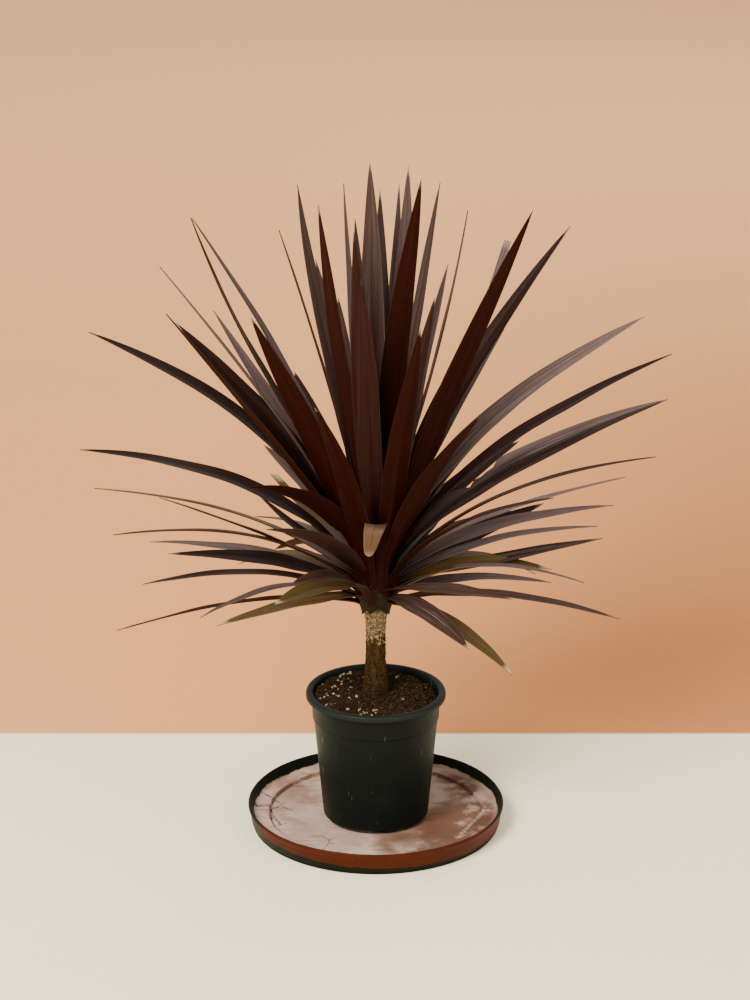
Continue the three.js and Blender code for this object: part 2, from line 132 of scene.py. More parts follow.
# leaves that carry a pale bloom with painted sheen: how much of it, and on which side of the rib, 0 for both;
# where a side is given, that half is painted lit and the other half painted dark as painted shade
PALE_BLOOM_AND_SHEEN = {
    1: (0.30, 1), 2: (0.28, 0), 3: (0.12, 0), 4: (0.75, 0), 5: (0.15, 0), 6: (0.15, 0), 7: (0.12, 0),
    8: (0.30, 0), 9: (0.22, 0), 11: (0.28, 0), 12: (0.50, 0), 13: (0.18, 0), 14: (0.20, 0), 15: (0.35, 0),
    16: (1.00, 0), 18: (1.00, 0), 20: (0.85, 0), 21: (1.00, 0), 22: (0.95, 0), 25: (0.85, 1), 27: (0.90, 0),
    28: (0.75, 0), 29: (0.75, 0), 32: (0.70, 0), 36: (0.45, 0), 39: (0.60, 0), 42: (0.60, -1),
    44: (0.85, 0), 45: (0.90, 0), 49: (0.75, 0), 51: (0.40, 0), 53: (0.75, 0), 54: (0.70, 0), 56: (0.60, 0),
    60: (0.35, 0), 65: (0.40, 0),
}

# colours of the upper sides, as linear red, green and blue
TONES = {
    "dark": (0.0105, 0.0017, 0.0006),
    "bronze": (0.0270, 0.0092, 0.0048),
    "mauve": (0.0640, 0.0340, 0.0270),
    "olive": (0.0800, 0.0430, 0.0100),
}

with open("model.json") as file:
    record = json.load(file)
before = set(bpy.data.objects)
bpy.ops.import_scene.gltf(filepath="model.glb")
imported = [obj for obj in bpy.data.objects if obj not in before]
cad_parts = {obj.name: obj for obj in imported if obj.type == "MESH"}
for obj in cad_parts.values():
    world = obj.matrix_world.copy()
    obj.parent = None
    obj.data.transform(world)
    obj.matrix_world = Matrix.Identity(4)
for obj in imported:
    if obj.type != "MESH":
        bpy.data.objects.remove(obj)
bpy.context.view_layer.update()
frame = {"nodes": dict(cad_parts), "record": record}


class Wire:
    """A socket in a material; arithmetic on it adds Math nodes."""

    def __init__(self, finish, socket):
        self.finish = finish
        self.socket = socket

    def math(self, operation, *others):
        values = {i: value for i, value in enumerate((self, *others))}
        return self.finish.node("ShaderNodeMath", {"operation": operation}, values)

    def __add__(self, other):
        return self.math("ADD", other)

    def __sub__(self, other):
        return self.math("SUBTRACT", other)

    def __rsub__(self, other):
        return self.math("MULTIPLY_ADD", -1.0, other)

    def __mul__(self, other):
        return self.math("MULTIPLY", other)

    __radd__ = __add__
    __rmul__ = __mul__

    def abs(self):
        return self.math("ABSOLUTE")

    def step(self, low, high):
        """0 below low and 1 above high, eased between them; low may be the larger."""
        ends = {1: low, 2: high, 3: 0.0, 4: 1.0}
        if low > high:
            ends = {1: high, 2: low, 3: 1.0, 4: 0.0}
        return self.finish.node("ShaderNodeMapRange", {"interpolation_type": "SMOOTHSTEP"}, {0: self, **ends})


class Finish:
    """A material that is being made."""

    def __init__(self, name, roughness, gloss):
        self.material = bpy.data.materials.new(name)
        self.material.use_nodes = True
        self.tree = self.material.node_tree
        self.shader = self.tree.nodes["Principled BSDF"]
        self.shader.inputs["Roughness"].default_value = roughness
        self.shader.inputs["Specular IOR Level"].default_value = gloss

    def node(self, kind, settings, sockets, output=0):
        made = self.tree.nodes.new(kind)
        for name, value in settings.items():
            setattr(made, name, value)
        for key, value in sockets.items():
            self.join(value, made.inputs[key])
        return Wire(self, made.outputs[output])

    def join(self, value, socket):
        if isinstance(value, Wire):
            self.tree.links.new(value.socket, socket)
        elif isinstance(value, tuple) and len(value) == 3 and socket.type == "RGBA":
            socket.default_value = (*value, 1.0)
        else:
            socket.default_value = value

    def give(self, **sockets):
        """Joins values to the shader's sockets; an underscore stands for a space."""
        for name, value in sockets.items():
            self.join(value, self.shader.inputs[name.replace("_", " ")])
        return self.material

    def place(self):
        return self.node("ShaderNodeTexCoord", {}, {}, output=3)

    def blade_place(self):
        return self.node("ShaderNodeUVMap", {"uv_map": "blade"}, {})

    def split(self, vector):
        separate = self.tree.nodes.new("ShaderNodeSeparateXYZ")
        self.join(vector, separate.inputs[0])
        return [Wire(self, output) for output in separate.outputs]

    def combine(self, x, y, z):
        return self.node("ShaderNodeCombineXYZ", {}, {0: x, 1: y, 2: z})

    def attribute(self, name, output):
        return self.node("ShaderNodeAttribute", {"attribute_name": name}, {}, output=output)

    def noise(self, vector, scale, detail, roughness):
        sockets = {"Vector": vector, "Scale": scale, "Detail": detail, "Roughness": roughness}
        return self.node("ShaderNodeTexNoise", {}, sockets)

    def cell_borders(self, vector, scale):
        """The distance to the nearest border between irregular cells."""
        settings = {"feature": "DISTANCE_TO_EDGE"}
        return self.node("ShaderNodeTexVoronoi", settings, {"Vector": vector, "Scale": scale})

    def stretch(self, vector, scale):
        return self.node("ShaderNodeMapping", {}, {"Vector": vector, "Scale": scale})

    def mix(self, share, first, second):
        return self.node("ShaderNodeMix", {"data_type": "RGBA"}, {0: share, 6: first, 7: second}, output=2)

    def shade(self, colour, amount):
        """A colour made lighter or darker by a number."""
        return self.node("ShaderNodeVectorMath", {"operation": "SCALE"}, {0: colour, 3: amount})

    def bump(self, height, distance, strength, normal=None):
        sockets = {"Height": height, "Distance": distance, "Strength": strength}
        if normal is not None:
            sockets["Normal"] = normal
        return self.node("ShaderNodeBump", {}, sockets)


def smooth(x):
    x = min(1.0, max(0.0, x))
    return x * x * (3 - 2 * x)


def mix(a, b, share):
    return a + (b - a) * share


def ride(obj, slot, *nodes):
    """Links a finished piece under the root and hides the frame's parts that it stands in for."""
    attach(obj, "root")
    if nodes:
        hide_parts(*nodes)
    return obj


def piece_from(bm, name, materials):
    mesh = bpy.data.meshes.new(name)
    bm.to_mesh(mesh)
    bm.free()
    for material in materials:
        mesh.materials.append(material)
    obj = bpy.data.objects.new(name, mesh)
    bpy.context.scene.collection.objects.link(obj)
    return obj


def shade_smooth(bm):
    for face in bm.faces:
        face.smooth = True


def head_radius(height):
    for (low, low_radius), (high, high_radius) in zip(STEM, STEM[1:]):
        if high > height:
            return mix(low_radius, high_radius, (height - low) / (high - low))
    return STEM[-1][1]


def base_levels():
    """On each side of the head the bases climb it in the order of the leaves' slopes."""
    sides = [[] for _ in range(BASE_SIDES)]
    for i, leaf in enumerate(LEAVES):
        sides[math.floor(leaf[0] / 360 * BASE_SIDES + 0.5) % BASE_SIDES].append(i)
    levels = {}
    for side in sides:
        side.sort(key=lambda i: math.atan2(LEAVES[i][2], LEAVES[i][1]))
        for rank, i in enumerate(side):
            levels[i] = mix(LOWEST_BASE, HIGHEST_BASE, (rank + 0.5) / len(side))
    return levels


LEVELS = base_levels()


def leaf_curve(i):
    """The four control points of a leaf's rib, in millimetres."""
    bearing, reach, rise, bow, bend = LEAVES[i][:5]
    angle = math.radians(bearing)
    heading = Vector((math.cos(angle), math.sin(angle), 0))
    sideways = Vector((-heading.y, heading.x, 0))
    level = LEVELS[i]
    base = heading * (head_radius(level) - BASE_DEPTH) + Vector((0, 0, level))
    tip = heading * reach + Vector((0, 0, CROWN_LEVEL + rise))
    length = (tip - base).length
    slope = math.asin((tip.z - base.z) / length)
    aside = bend / 100 * length

    def direction(a):
        return heading * math.cos(a) + Vector((0, 0, math.sin(a)))

    leaving = direction(slope + math.radians(STEEPER * max(bow, 0)))
    arriving = direction(slope - math.radians(bow))
    early = base + leaving * (EARLY * length) + sideways * aside
    late = tip - arriving * (LATE * length) + sideways * aside
    return base, early, late, tip


def on_curve(points, s):
    """A point of a cubic curve and the direction there."""
    a, b, c, d = points
    r = 1 - s
    place = a * r**3 + b * (3 * r * r * s) + c * (3 * r * s * s) + d * s**3
    along = (b - a) * (3 * r * r) + (c - b) * (6 * r * s) + (d - c) * (3 * s * s)
    return place, along.normalized()


def blade_width(width, s):
    return width * (BASE_WIDTH + (1 - BASE_WIDTH) * smooth(s / WIDEST)) * max(0.0, 1 - s**TAPER) ** 0.9


def leaf_marks(i, s, u):
    """A leaf's colour at s along it and u across it, and how much blush, pale waxy coat with painted sheen, and
    dryness it has there.
    """
    rise, tone = LEAVES[i][2], LEAVES[i][7]
    draw = random.Random(i * 7 + 3)
    colour = Vector(TONES[tone]) * draw.uniform(0.85, 1.2)
    deep = Vector((0.0085, 0.0014, 0.0006))
    colour = deep.lerp(colour, smooth(0.25 + s / 0.35))
    # pale bloom with painted sheen; on a leaf given a side, the other half is painted dark as painted shade
    amount, edge = PALE_BLOOM_AND_SHEEN.get(i + 1, (0, 0))
    pale = amount * smooth((s - 0.02) / 0.28) * (smooth(0.5 + 2.5 * edge * u) if edge else 1)
    if edge:
        colour = colour.lerp(Vector(TONES["dark"]), smooth(0.5 - 2.5 * edge * u))
    colour = colour.lerp(Vector((0.125, 0.083, 0.078)), 0.85 * pale)
    low = smooth((170 - rise) / 200)
    dry = low * smooth((s - 0.955) / 0.05)
    dry = max(dry, draw.uniform(0, 0.7) * smooth((s - 0.975) / 0.025))
    if tone == "olive":
        green = Vector((0.055, 0.060, 0.0065))
        colour = colour.lerp(green, 0.7 * smooth((abs(u) - 0.35) / 0.5) * smooth((s - 0.35) / 0.4))
        dry = smooth((s - 0.93) / 0.04)
    blush = 0.9 * smooth((rise - 380) / 80) * smooth((0.75 - s) / 0.35) * draw.uniform(0.35, 1)
    # how much pale bloom with painted sheen each tone carries
    bloom_and_sheen = {"dark": 0.08, "bronze": 0.5, "mauve": 0.7, "olive": 0.3}[tone] * draw.uniform(0.7, 1.15)
    neck = smooth((0.05 - s) / 0.09) * smooth((322 - LEVELS[i]) / 16)
    colour = colour.lerp(Vector((0.0150, 0.0098, 0.0050)), neck)
    return colour, (blush, max(bloom_and_sheen, pale), dry)


def lay_blade(bm, i, layers):
    """Adds the upper side of one leaf to the mesh, foot to tip, with its clasping base."""
    uv, tone, marks, seed, groups = layers
    bearing, width, turn = LEAVES[i][0], LEAVES[i][5], LEAVES[i][6]
    share = LEAVES[i][8] if len(LEAVES[i]) > 8 else 1
    curve = leaf_curve(i)
    heading = Vector((curve[3].x - curve[0].x, curve[3].y - curve[0].y, 0)).normalized()
    across = Vector((-heading.y, heading.x, 0))
    draw = random.Random(i + 11)
    phases = [draw.uniform(0, math.tau) for _ in range(5)]
    sway, ripple, wring = draw.uniform(0.4, 1.4), draw.uniform(0.2, 0.7), draw.uniform(1, 5)
    level = LEVELS[i]
    angle = math.radians(bearing)
    made = bmesh.ops.create_grid(bm, x_segments=ACROSS, y_segments=ALONG, size=1, calc_uvs=False)
    rows = {}
    for vert in made["verts"]:
        u = -vert.co.x
        r = (vert.co.y + 1) / 2
        s = mix(SHEATH_START, 1, r)
        key = round(r * 1000)
        if key not in rows:
            t = max(0.0, s)
            centre, along = on_curve(curve, t)
            upper = along.cross(across).normalized()
            side = upper.cross(along).normalized()
            inner = 4 * t * (1 - t)
            twist = -math.radians(turn) * smooth(t / 0.4)
            twist += math.radians(wring) * math.sin(phases[0] + 7 * t) * inner
            spin = Matrix.Rotation(twist, 3, along)
            rows[key] = centre, spin @ upper, spin @ side, inner
        centre, upper, side, inner = rows[key]
        t = max(0.0, s)
        half = blade_width(width, t * share) / 2
        if i + 1 in BITTEN:
            bite, edge, depth = BITTEN[i + 1]
            torn = 0.75 + 0.25 * math.sin(90 * t) * math.sin(37 * t)
            half *= 1 - depth * torn * smooth(1.5 - abs(t - bite) / 0.07) * smooth(edge * u * 3)
        channel = mix(0.42, 0.17, smooth(t / WIDEST))
        rise_up = half * channel * abs(u) ** 1.35
        rise_up += ripple * math.sin(phases[1] + 19 * t) * u * u * inner
        rise_up -= 0.35 * math.exp(-((u / 0.11) ** 2)) * (1 - 0.6 * t)
        shift = sway * math.sin(phases[2] + 9 * t) * inner
        shift += 0.25 * ripple * math.sin(phases[3] + 31 * t) * inner
        place = centre + side * (half * u + shift) + upper * rise_up
        if s < SHEATH_END:
            down = (SHEATH_END - s) / (SHEATH_END - SHEATH_START)
            height = level + 3 - 18 * down * (1 - 0.7 * abs(u))
            radius = head_radius(height) + 0.8 + 1.1 * (1 - u * u)
            wrap = mix(half / radius, 0.8, smooth(down * 1.2)) * u
            clasp = Vector((math.cos(angle + wrap) * radius, math.sin(angle + wrap) * radius, height))
            place = place.lerp(clasp, smooth((SHEATH_END - s) / SHEATH_END))
        vert.co = place * MM
        colour, kinds = leaf_marks(i, s, u)
        vert[tone] = (*colour, 1)
        vert[marks] = (*kinds, 1)
        vert[seed] = (i * 0.37) % 1
        vert[groups][0] = math.exp(-((u / 0.22) ** 2)) * (1 - 0.55 * t)
        for loop in vert.link_loops:
            loop[uv].uv = ((u + 1) / 2, t)
    return made["verts"]


def catmull(points, s):
    """A smooth curve through all the points, and its direction."""
    spans = len(points) - 1
    k = min(spans - 1, int(s * spans))
    f = s * spans - k
    p = [Vector(points[max(0, min(spans, k + j))]) for j in (-1, 0, 1, 2)]
    m1, m2 = (p[2] - p[0]) / 2, (p[3] - p[1]) / 2
    place = (2 * f**3 - 3 * f**2 + 1) * p[1] + (f**3 - 2 * f**2 + f) * m1
    place += (-2 * f**3 + 3 * f**2) * p[2] + (f**3 - f**2) * m2
    along = (6 * f**2 - 6 * f) * p[1] + (3 * f**2 - 4 * f + 1) * m1
    along += (-6 * f**2 + 6 * f) * p[2] + (3 * f**2 - 2 * f) * m2
    return place, along.normalized()


def lay_creased_leaf(bm, layers):
    """The leaf at the front that is creased across, so that its pale underside hangs towards the viewer."""
    uv, tone, marks, seed, groups = layers
    made = bmesh.ops.create_grid(bm, x_segments=ACROSS, y_segments=ALONG, size=1, calc_uvs=False)
    across = Vector((1, 0, 0))
    tan, dark = Vector((0.084, 0.040, 0.0195)), Vector((0.03, 0.009, 0.005))
    # the colour next to the crease: painted shade in the fold
    shaded_fold = Vector((0.046, 0.030, 0.020))
    for vert in made["verts"]:
        u = -vert.co.x
        s = (vert.co.y + 1) / 2
        centre, along = catmull(CREASED_PATH, s)
        upper = along.cross(across).normalized()
        side = upper.cross(along).normalized()
        half = CREASED_WIDTH / 2 * mix(0.45, 1, smooth(s / 0.5)) * max(0.0, 1 - s**5) ** 0.55
        cup = half * mix(0.4, 0.1, smooth(s / 0.5)) * u * u
        vert.co = (centre + side * (half * u) + upper * cup) * MM
        # darker next to the crease and towards one edge: painted shade
        hanging = shaded_fold.lerp(tan, smooth((s - 0.56) / 0.14)) * (1 - 0.2 * u)
        vert[tone] = (*dark.lerp(hanging, smooth((s - CREASE) / 0.05)), 1)
        vert[marks] = (0, 0.05, 0.25 * smooth((s - 0.92) / 0.08), 1)
        vert[seed] = 0.5
        vert[groups][0] = math.exp(-((u / 0.3) ** 2))
        for loop in vert.link_loops:
            loop[uv].uv = ((u + 1) / 2, s)
    return made["verts"]


def leaf_colour_base(f):
    """The streaked colour that both sides of a leaf share, with the places that it is worked out from."""
    u, v, _ = f.split(f.blade_place())
    seed = f.attribute("seed", 2)
    tone = f.attribute("tone", 0)
    marks = f.node("ShaderNodeSeparateColor", {}, {0: f.attribute("marks", 0)})
    blush, bloom_and_sheen, dry = [Wire(f, output) for output in marks.socket.node.outputs]
    fine = f.noise(f.combine(u * 42 + seed * 37, v * 2.6, seed * 9), 1.0, 4.0, 0.62)
    broad = f.noise(f.combine(u * 7 + seed * 61, v * 1.7, seed * 5), 1.0, 2.0, 0.5)
    side = (u * 2 - 1).abs()
    return u, v, side, seed, tone, blush, bloom_and_sheen, dry, fine, broad


def leaf_upper_finish():
    f = Finish("leaf_upper", 0.5, 0.11)
    u, v, side, seed, tone, blush, bloom_and_sheen, dry, fine, broad = leaf_colour_base(f)
    colour = f.shade(tone, fine * 0.9 + broad * 0.75 + 0.12)
    # pale lengthwise streaks: part bloom, part painted highlight
    pale = f.mix(fine, (0.060, 0.034, 0.028), (0.26, 0.190, 0.175))
    colour = f.mix(bloom_and_sheen * fine.step(0.42, 0.72) * 0.75, colour, pale)
    groove = f.noise(f.combine(u * 30 + seed * 23, v * 2.2, 0.4), 1.0, 3.0, 0.6).step(0.54, 0.66)
    colour = f.mix(bloom_and_sheen * groove * 0.6, colour, (0.026, 0.0105, 0.0080))
    # bright streaks inside the blade's edges and ends: painted highlight
    shine = f.noise(f.combine(u * 34 + v * 3, v * 4, seed * 7 + 0.7), 1.0, 3.0, 0.6).step(0.57, 0.68)
    shine = shine * side.step(0.9, 0.4) * v.step(0.22, 0.4) * v.step(0.95, 0.7)
    colour = f.mix(bloom_and_sheen * bloom_and_sheen * shine * 0.8, colour, (0.52, 0.44, 0.42))
    rib = side.step(0.10, 0.03)
    colour = f.mix(rib * 0.5, colour, f.shade(tone, 0.45))
    colour = f.mix(blush * side.step(0.34, 0.05) * (fine * 0.9 + 0.35), colour, (0.085, 0.0070, 0.0055))
    colour = f.mix(side.step(0.93, 0.985) * (bloom_and_sheen * 0.5 + 0.12), colour, (0.15, 0.088, 0.076))
    colour = f.mix(dry, colour, f.mix(fine, (0.30, 0.20, 0.11), (0.62, 0.50, 0.34)))
    veins = f.noise(f.combine(u * 120, v * 3, 0.3), 1.0, 2.0, 0.5)
    normal = f.bump(veins, 0.0003, 0.5)
    normal = f.bump(broad, 0.0012, 0.35, normal)
    return f.give(Base_Color=colour, Roughness=fine * 0.25 + 0.30 + dry * 0.3, Normal=normal)


def leaf_under_finish():
    f = Finish("leaf_under", 0.5, 0.03)
    u, v, side, seed, tone, _, bloom_and_sheen, dry, fine, broad = leaf_colour_base(f)
    under = f.mix(0.16, (0.0155, 0.0019, 0.0004), tone)
    under = f.mix(bloom_and_sheen * 0.5, under, tone)
    under = f.mix(v.step(0.05, 0.0) * 0.85, under, tone)
    colour = f.shade(under, fine * 0.8 + broad * 0.6 + 0.3)
    # pale streaks on the underside: part bloom, part painted highlight
    colour = f.mix(bloom_and_sheen * fine.step(0.46, 0.62) * 0.65, colour, (0.074, 0.047, 0.042))
    groove = f.noise(f.combine(u * 26 + seed * 31, v * 2.0, 0.2), 1.0, 3.0, 0.6).step(0.53, 0.64)
    colour = f.mix(groove * 0.5, colour, (0.0085, 0.0012, 0.0004))
    colour = f.mix(side.step(0.14, 0.03) * 0.35, colour, (0.026, 0.0030, 0.0016))
    colour = f.mix(side.step(0.94, 0.99) * (bloom_and_sheen * 0.4 + 0.10), colour, (0.12, 0.062, 0.052))
    colour = f.mix(dry, colour, f.mix(fine, (0.28, 0.18, 0.10), (0.55, 0.44, 0.30)))
    veins = f.noise(f.combine(u * 110, v * 3, 0.8), 1.0, 2.0, 0.5)
    normal = f.bump(veins, 0.00025, 0.45)
    return f.give(Base_Color=colour, Roughness=fine * 0.2 + 0.42, Normal=normal)


def leaf_edge_finish():
    f = Finish("leaf_edge", 0.55, 0.1)
    tone = f.attribute("tone", 0)
    colour = f.mix(0.12, tone, (0.085, 0.046, 0.039))
    return f.give(Base_Color=colour)


def make_leaves():
    finishes = [leaf_upper_finish(), leaf_under_finish(), leaf_edge_finish()]
    slots = {part["node"]: part["material_slot"] for part in frame["record"]["subparts"]}
    for node in sorted(frame["nodes"]):
        if not node.startswith(("leaf_", "leaves_")):
            continue
        numbers = [int(word) for word in node.split("_")[1:]]
        bm = bmesh.new()
        layers = (
            bm.loops.layers.uv.new("blade"),
            bm.verts.layers.float_color.new("tone"),
            bm.verts.layers.float_color.new("marks"),
            bm.verts.layers.float.new("seed"),
            bm.verts.layers.deform.verify(),
        )
        for number in numbers:
            if number == CREASED_LEAF:
                lay_creased_leaf(bm, layers)
            else:
                lay_blade(bm, number - 1, layers)
        bmesh.ops.remove_doubles(bm, verts=bm.verts, dist=1e-5)
        shade_smooth(bm)
        for edge in bm.edges:
            if edge.is_boundary:
                edge.smooth = False
        piece = piece_from(bm, "blade" + node[node.index("_"):], finishes)
        piece.vertex_groups.new(name="rib")
        wall = piece.modifiers.new("thickness", "SOLIDIFY")
        wall.thickness = RIB_THICKNESS * MM
        wall.thickness_vertex_group = EDGE_THICKNESS
        wall.vertex_group = "rib"
        wall.offset = -1
        wall.material_offset = 1
        wall.material_offset_rim = 2
        ride(piece, slots[node], node)


def turned(profile, steps, rounding=0.0):
    """Spins an outline of (radius, height) in millimetres round the vertical axis."""
    bm = bmesh.new()
    verts = [bm.verts.new((radius * MM, 0, height * MM)) for radius, height in profile]
    for first, second in zip(verts, verts[1:]):
        bm.edges.new((first, second))
    if rounding:
        bmesh.ops.bevel(
            bm, geom=verts[1:-1], affect="VERTICES",
            offset=rounding * MM, segments=2, profile=0.5, material=-1,
        )
    bmesh.ops.spin(
        bm, geom=bm.verts[:] + bm.edges[:], cent=(0, 0, 0), axis=(0, 0, 1),
        angle=math.tau, steps=steps, use_merge=True,
    )
    bmesh.ops.remove_doubles(bm, verts=bm.verts, dist=1e-6)
    bmesh.ops.recalc_face_normals(bm, faces=bm.faces)
    shade_smooth(bm)
    return bm


def fine_radius(height):
    """The stem's radius, eased between the frame's levels."""
    return (head_radius(height - 3) + head_radius(height) + head_radius(min(363, height + 3))) / 3


def make_stem():
    """The bare stem, scarred and pale above and fibrous brown below, and the loose scraps of bark on it."""
    levels = [160 + 1.4 * k for k in range(146)]
    profile = [(0, STEM_BOTTOM), (SUNK_RADIUS, STEM_BOTTOM)]
    profile += [(fine_radius(z) if z > 183 else SUNK_RADIUS, z) for z in levels]
    profile += [(0, 366)]
    bm = turned(profile, 96)
    for vert in bm.verts:
        x, y, z = vert.co / MM
        radius = math.hypot(x, y)
        if radius < 1 or z > 345:
            continue
        bearing = math.atan2(y, x)
        old = smooth((OLD_BARK - z) / 8)
        lattice = math.sin(6 * bearing + 0.42 * z) * math.sin(6 * bearing - 0.42 * z + 1.2)
        warp = noise.noise(Vector((x, y, z)) * 0.16)
        scars = (0.45 * lattice + 0.5 * warp) * (1 - old) * smooth((290 - z) / 12)
        fibres = noise.noise(Vector((x * 0.9, y * 0.9, z * 0.07)))
        rings = noise.noise(Vector((bearing * 0.6, 4.0, z * 0.75)))
        rough = noise.noise(Vector((x, y, z)) * 0.75)
        bark = (0.9 * fibres + 0.65 * rings + 0.5 * rough) * old
        flare = 0.9 * math.sin(5 * bearing + 0.02 * z) * smooth((OLD_BARK - z) / 60)
        grow = 1 + (scars + bark + flare) / radius
        vert.co.x *= grow
        vert.co.y *= grow
    f = Finish("stem_bark", 0.85, 0.1)
    x, y, z = f.split(f.place())
    height = z * PER_METRE
    bearing = y.math("ARCTAN2", x)
    grain = f.noise(f.place(), 420, 4, 0.65)
    patch = f.noise(f.place(), 90, 3, 0.6)
    warp = f.noise(f.place(), 160, 2, 0.5) * 2.4
    round_it = f.combine(bearing * 2.1 + warp * 0.3, height * 0.24 + warp * 0.5, 0.0)
    lines = f.cell_borders(round_it, 1.0).step(0.13, 0.03) * patch.step(0.36, 0.56)
    flecks = f.noise(f.combine(bearing * 5, height * 0.9, 0.5), 1.0, 4, 0.7).step(0.56, 0.64)
    lines = lines.math("MAXIMUM", flecks * 0.75)
    cream = f.mix((patch * 0.6 + grain * 0.5).step(0.38, 0.72), (0.090, 0.054, 0.019), (0.46, 0.355, 0.185))
    cream = f.mix(lines * 0.9, cream, (0.030, 0.0155, 0.005))
    fibre = f.noise(f.stretch(f.place(), (330, 330, 60)), 1, 4, 0.7)
    ring = f.noise(f.stretch(f.place(), (60, 60, 700)), 1, 3, 0.6)
    brown = f.mix(fibre.step(0.3, 0.7), (0.0085, 0.0035, 0.0008), (0.082, 0.039, 0.0088))
    brown = f.mix(ring.step(0.5, 0.66) * 0.7, brown, (0.0065, 0.0030, 0.0010))
    brown = f.mix(patch.step(0.5, 0.7) * 0.35, brown, (0.046, 0.033, 0.0075))
    brown = f.mix(height.step(206, 184) * 0.4, brown, (0.014, 0.0080, 0.0026))
    jag = f.noise(f.combine(bearing * 4, height * 0.12, 0.0), 1.0, 4, 0.7) * 46
    edge = (height + patch * 10 + jag - 28).step(241, 238)
    colour = f.mix(edge, cream, brown)
    neck = (height + patch * 8 - 4).step(278, 287)
    colour = f.mix(neck, colour, f.mix(grain, (0.024, 0.0155, 0.0042), (0.058, 0.038, 0.011)))
    colour = f.mix(height.step(288, 304), colour, (0.0075, 0.0055, 0.0022))
    normal = f.bump(fibre * edge + ring * edge + grain * 0.8 + lines * -0.7, 0.0016, 0.9)
    piece = piece_from(bm, "stem_fine", [f.give(Base_Color=colour, Normal=normal)])
    ride(piece, "stem_bark", "stem")

    draw = random.Random(8)
    bm = bmesh.new()
    for k in range(BARK_SCRAPS):
        z = draw.uniform(174, 246) if k % 3 else draw.uniform(222, 252)
        angle = draw.uniform(0, math.tau)
        out = fine_radius(max(z, 184)) + draw.uniform(-0.3, 0.5)
        place = Matrix.Rotation(angle, 4, "Z") @ Matrix.Translation(Vector((out, 0, z)) * MM)
        tilt = Matrix.Rotation(draw.uniform(-0.6, 0.6), 4, "X")
        tilt = tilt @ Matrix.Rotation(draw.uniform(-0.2, 0.2), 4, "Y")
        wide, tall = draw.uniform(0.4, 1.5), draw.uniform(0.4, 2.4)
        shape = Matrix.Diagonal((draw.uniform(0.35, 0.8), wide, tall, 1))
        bmesh.ops.create_icosphere(bm, subdivisions=1, radius=MM, matrix=place @ tilt @ shape)
    scraps = peat_finish("bark_scraps", (0.0095, 0.0042, 0.0011), (0.090, 0.045, 0.0125))
    ride(piece_from(bm, "bark_scraps", [scraps]), "stem_bark")


# outlines of the saucer and the pot, as radius and height in millimetres from the middle below to that above
SAUCER_OUTLINE = [
    (0, 0), (150, 0), (151, 1), (151, 5), (152.6, 6), (155, 21), (156.5, 24), (156.5, 27),
    (155.5, 28), (154.1, 28), (153.3, 27.2), (149.9, 17.5), (147.3, 14.5), (131, 14.5),
    (129.5, 10.5), (0, 10.5),
]
POT_OUTLINE = [
    (0, 2), (53, 2), (54, 0), (61, 0), (64.3, 5), (75.4, 128), (76.9, 130), (77.8, 155),
    (83.8, 155.4), (85, 157), (85, 161), (84, 163.2), (82, 164), (78.4, 164), (76.4, 162.4),
    (75.8, 130), (73.6, 127), (62.5, 6), (59.2, 4.4), (0, 4.4),
]
POT_BOTTOM = 10.8

# the notches under the pot's bottom edge
NOTCHES = 5
FIRST_NOTCH = 275.5
NOTCH_RADIUS = 60.3
NOTCH_SIZE = (16, 12, 10)
NOTCH_ROUNDING = 2.5


